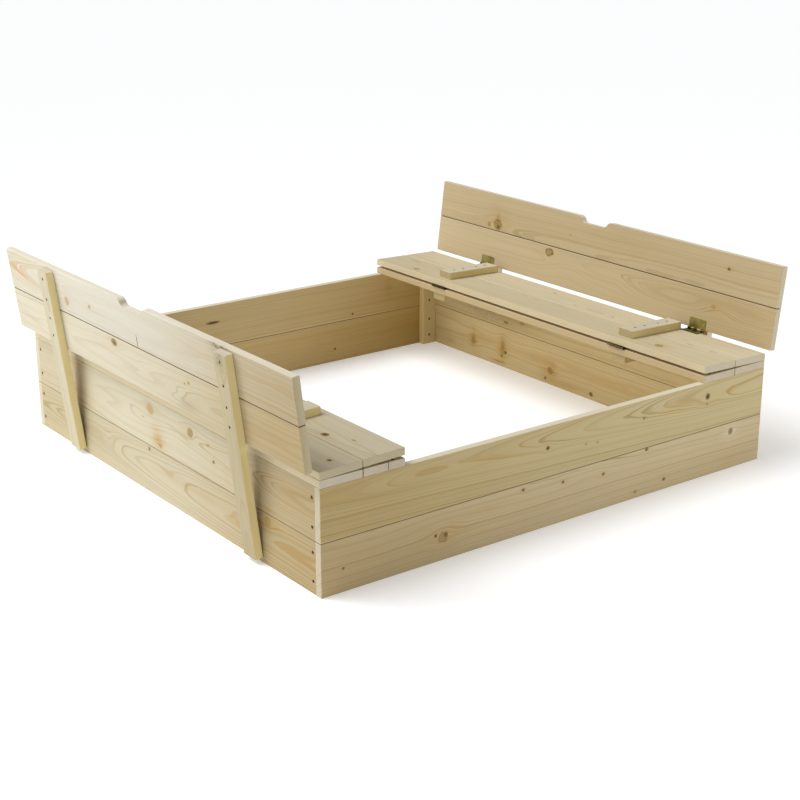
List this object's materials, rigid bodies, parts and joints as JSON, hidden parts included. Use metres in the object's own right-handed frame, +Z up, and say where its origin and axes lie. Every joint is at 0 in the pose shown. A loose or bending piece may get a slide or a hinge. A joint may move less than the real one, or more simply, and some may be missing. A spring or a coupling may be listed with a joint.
{
  "type": "sandbox with cover",
  "caption": "Square wooden sandbox whose two-part hinged cover folds open into facing benches with leaning backrests.",
  "frame": {"origin": "on the ground, at the centre of the square box", "axes": "+X from the left bench to the right bench, +Y from the front wall to the back wall, +Z up"},
  "size_m": [1.3426, 1.2, 0.4448],
  "materials": {
    "spruce": "untreated planed spruce, satin",
    "hinge_zinc": "yellow passivated zinc, satin",
    "screw_steel": "yellow zinc, dull"
  },
  "bodies": {
    "box": {"back_left_post": "spruce", "back_right_post": "spruce", "back_wall_lower_board": "spruce", "back_wall_upper_board": "spruce", "fixed_seat_screws": "screw_steel", "fold_hinge_fixed_screws": "screw_steel", "fold_hinge_pins": "hinge_zinc", "front_left_post": "spruce", "front_right_post": "spruce", "front_wall_lower_board": "spruce", "front_wall_upper_board": "spruce", "left_fixed_seat_inner_board": "spruce", "left_fixed_seat_outer_board": "spruce", "left_fold_hinge_fixed_leaves": "hinge_zinc", "left_under_batten_back": "spruce", "left_under_batten_front": "spruce", "left_wall_lower_board": "spruce", "left_wall_upper_board": "spruce", "post_screws": "screw_steel", "right_fixed_seat_inner_board": "spruce", "right_fixed_seat_outer_board": "spruce", "right_fold_hinge_fixed_leaves": "hinge_zinc", "right_under_batten_back": "spruce", "right_under_batten_front": "spruce", "right_wall_lower_board": "spruce", "right_wall_upper_board": "spruce", "side_wall_screws": "screw_steel", "under_batten_screws": "screw_steel"},
    "left_seat": {"left_back_hinge_pins": "hinge_zinc", "left_back_hinge_seat_leaves": "hinge_zinc", "left_fold_hinge_moving_leaves": "hinge_zinc", "left_moving_seat_inner_board": "spruce", "left_moving_seat_outer_board": "spruce", "left_seat_batten_back": "spruce", "left_seat_batten_front": "spruce", "left_seat_batten_screws": "screw_steel", "left_seat_hinge_screws": "screw_steel"},
    "left_backrest": {"left_back_hinge_backrest_leaves": "hinge_zinc", "left_backrest_hinge_screws": "screw_steel", "left_backrest_lower_board": "spruce", "left_backrest_upper_board": "spruce", "left_strut_back": "spruce", "left_strut_front": "spruce", "left_strut_screws": "screw_steel"},
    "right_seat": {"right_back_hinge_pins": "hinge_zinc", "right_back_hinge_seat_leaves": "hinge_zinc", "right_fold_hinge_moving_leaves": "hinge_zinc", "right_moving_seat_inner_board": "spruce", "right_moving_seat_outer_board": "spruce", "right_seat_batten_back": "spruce", "right_seat_batten_front": "spruce", "right_seat_batten_screws": "screw_steel", "right_seat_hinge_screws": "screw_steel"},
    "right_backrest": {"right_back_hinge_backrest_leaves": "hinge_zinc", "right_backrest_hinge_screws": "screw_steel", "right_backrest_lower_board": "spruce", "right_backrest_upper_board": "spruce", "right_strut_back": "spruce", "right_strut_front": "spruce", "right_strut_screws": "screw_steel"}
  },
  "joints": [
    {"name": "left_cover_fold", "type": "hinge", "parent": "box", "child": "left_seat", "pos_m": [-0.4045, 0, 0.239], "axis": [0, 1, 0], "range_deg": [0, 181.5]},
    {"name": "left_backrest_hinge", "type": "hinge", "parent": "left_seat", "child": "left_backrest", "pos_m": [-0.61156, 0, 0.25486], "axis": [0, 1, 0], "range_deg": [-84.5, 0]},
    {"name": "right_cover_fold", "type": "hinge", "parent": "box", "child": "right_seat", "pos_m": [0.4045, 0, 0.239], "axis": [0, -1, 0], "range_deg": [0, 181.5]},
    {"name": "right_backrest_hinge", "type": "hinge", "parent": "right_seat", "child": "right_backrest", "pos_m": [0.61156, 0, 0.25486], "axis": [0, -1, 0], "range_deg": [-84.5, 0]}
  ],
  "couplings": [
    {"joint": "left_backrest_hinge", "follows": "left_cover_fold", "ratio": -0.46485},
    {"joint": "right_backrest_hinge", "follows": "right_cover_fold", "ratio": -0.46485}
  ]
}
